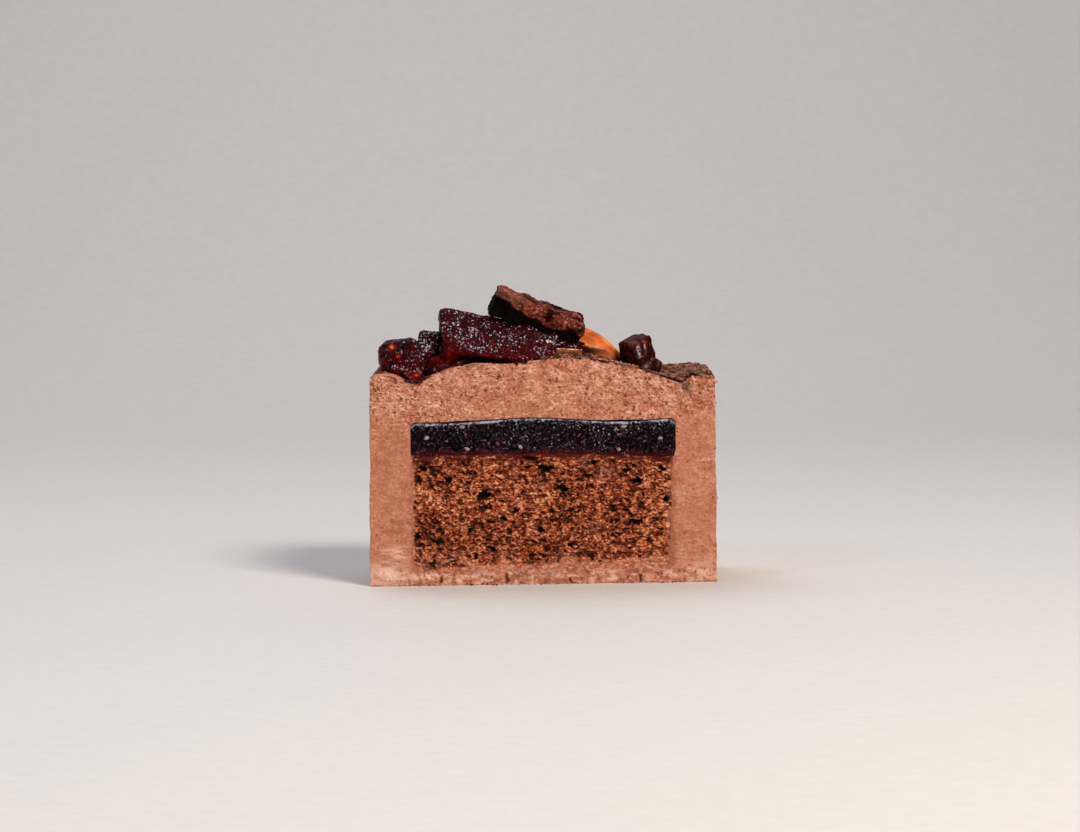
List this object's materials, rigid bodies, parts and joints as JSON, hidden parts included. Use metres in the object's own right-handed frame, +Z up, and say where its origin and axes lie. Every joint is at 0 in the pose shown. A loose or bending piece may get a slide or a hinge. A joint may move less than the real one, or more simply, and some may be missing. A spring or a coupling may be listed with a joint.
{
  "type": "chocolate cake",
  "caption": "Half of a square chocolate mousse cake, cut to show fruit jelly over sponge inside, with jelly, brownie, almond and chocolate pieces on its domed top.",
  "frame": {"origin": "middle of the bounding box's underside, on the surface the cake stands on", "axes": "+Z up, +X along the cut face to the viewer's right, -Y towards the viewer, out of the cut face; the walls are square to the axes and the cut is turned 4.5 degrees from X about Z"},
  "size_m": [0.085, 0.0458, 0.0729],
  "materials": {
    "mousse": "milk chocolate mousse, matt and full of fine bubbles, its top dusted with cocoa",
    "jelly_layer": "dark set fruit jelly with small seeds, moist and glinting",
    "sponge": "open chocolate sponge crumb, dry and matt",
    "fruit_jelly": "dark red fruit jelly, partly see-through, with a pebbled glinting skin",
    "brownie": "baked brownie, crackled paler crust over a dark moist crumb",
    "caramel": "amber caramel, glossy",
    "almond": "roasted almond, smooth with fine lengthwise streaks",
    "chocolate": "dark chocolate, broken and half glossy"
  },
  "bodies": {
    "root": {"mousse": "mousse", "jelly_layer": "jelly_layer", "sponge": "sponge", "jelly_lump": "fruit_jelly", "jelly_bar": "fruit_jelly", "jelly_scrap": "fruit_jelly", "brownie_piece": "brownie", "caramel_cube": "caramel", "almond": "almond", "chocolate_chunk": "chocolate"}
  },
  "joints": []
}
